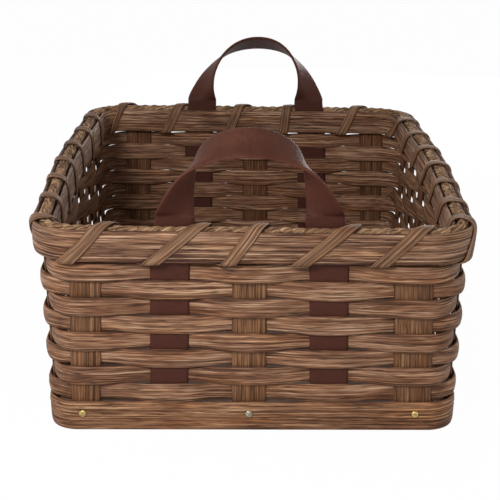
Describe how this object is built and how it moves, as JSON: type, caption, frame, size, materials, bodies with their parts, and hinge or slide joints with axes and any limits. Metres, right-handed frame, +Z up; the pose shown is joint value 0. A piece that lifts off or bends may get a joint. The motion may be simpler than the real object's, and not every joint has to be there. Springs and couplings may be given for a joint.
{
  "type": "bread roll basket",
  "caption": "Rectangular woven reed basket on a wooden base, with a lashed double rim over a seagrass rope, a nailed bottom band and a leather strap handle at each end.",
  "frame": {"origin": "on the table under the middle of the basket", "axes": "+Z up, +Y along the basket from the front handle to the rear handle, +X to the right seen from the front"},
  "size_m": [0.2418, 0.3298, 0.1647],
  "materials": {
    "board": "dark stained board",
    "stake_reed": "stained flat reed, grain upright",
    "reed": "stained flat reed, grooved along its length",
    "band_reed": "stained wide reed, deeply grooved",
    "lashing_reed": "lighter stained narrow reed",
    "seagrass": "twisted seagrass, natural",
    "leather": "dark brown, lightly creased",
    "brass": "aged, domed head"
  },
  "bodies": {
    "basket": {"base_board": "board", "bottom_band": "band_reed", "nail_front_1": "brass", "nail_front_2": "brass", "nail_front_3": "brass", "nail_right_1": "brass", "nail_right_2": "brass", "nail_right_3": "brass", "nail_right_4": "brass", "nail_rear_1": "brass", "nail_rear_2": "brass", "nail_rear_3": "brass", "nail_left_1": "brass", "nail_left_2": "brass", "nail_left_3": "brass", "nail_left_4": "brass", "stake_front_1": "stake_reed", "stake_front_2": "stake_reed", "stake_front_3": "stake_reed", "stake_right_1": "stake_reed", "stake_right_2": "stake_reed", "stake_right_3": "stake_reed", "stake_right_4": "stake_reed", "stake_right_5": "stake_reed", "stake_right_6": "stake_reed", "stake_right_7": "stake_reed", "stake_rear_1": "stake_reed", "stake_rear_2": "stake_reed", "stake_rear_3": "stake_reed", "stake_left_1": "stake_reed", "stake_left_2": "stake_reed", "stake_left_3": "stake_reed", "stake_left_4": "stake_reed", "stake_left_5": "stake_reed", "stake_left_6": "stake_reed", "stake_left_7": "stake_reed", "front_strap_leg_left": "leather", "front_strap_leg_right": "leather", "rear_strap_leg_left": "leather", "rear_strap_leg_right": "leather", "weaver_row_1": "reed", "weaver_row_2": "reed", "weaver_row_3": "reed", "weaver_row_4": "reed", "weaver_row_5": "reed", "weaver_row_6": "reed", "weaver_row_7": "reed", "weaver_row_8": "reed", "rim_weaver": "reed", "outer_rim_band": "band_reed", "inner_rim_band": "band_reed", "seagrass_filler": "seagrass", "rim_lashing": "lashing_reed"},
    "front_handle": {"front_handle_loop": "leather"},
    "rear_handle": {"rear_handle_loop": "leather"}
  },
  "joints": [
    {"name": "front_handle_bend", "type": "hinge", "parent": "basket", "child": "front_handle", "pos_m": [-0.002, -0.14542, 0.1151], "axis": [1, 0, 0], "range_deg": [-98, 55], "stiffness_Nm_per_rad": 0.08},
    {"name": "rear_handle_bend", "type": "hinge", "parent": "basket", "child": "rear_handle", "pos_m": [0.00349, 0.14542, 0.1151], "axis": [-1, 0, 0], "range_deg": [-98, 55], "stiffness_Nm_per_rad": 0.08}
  ]
}
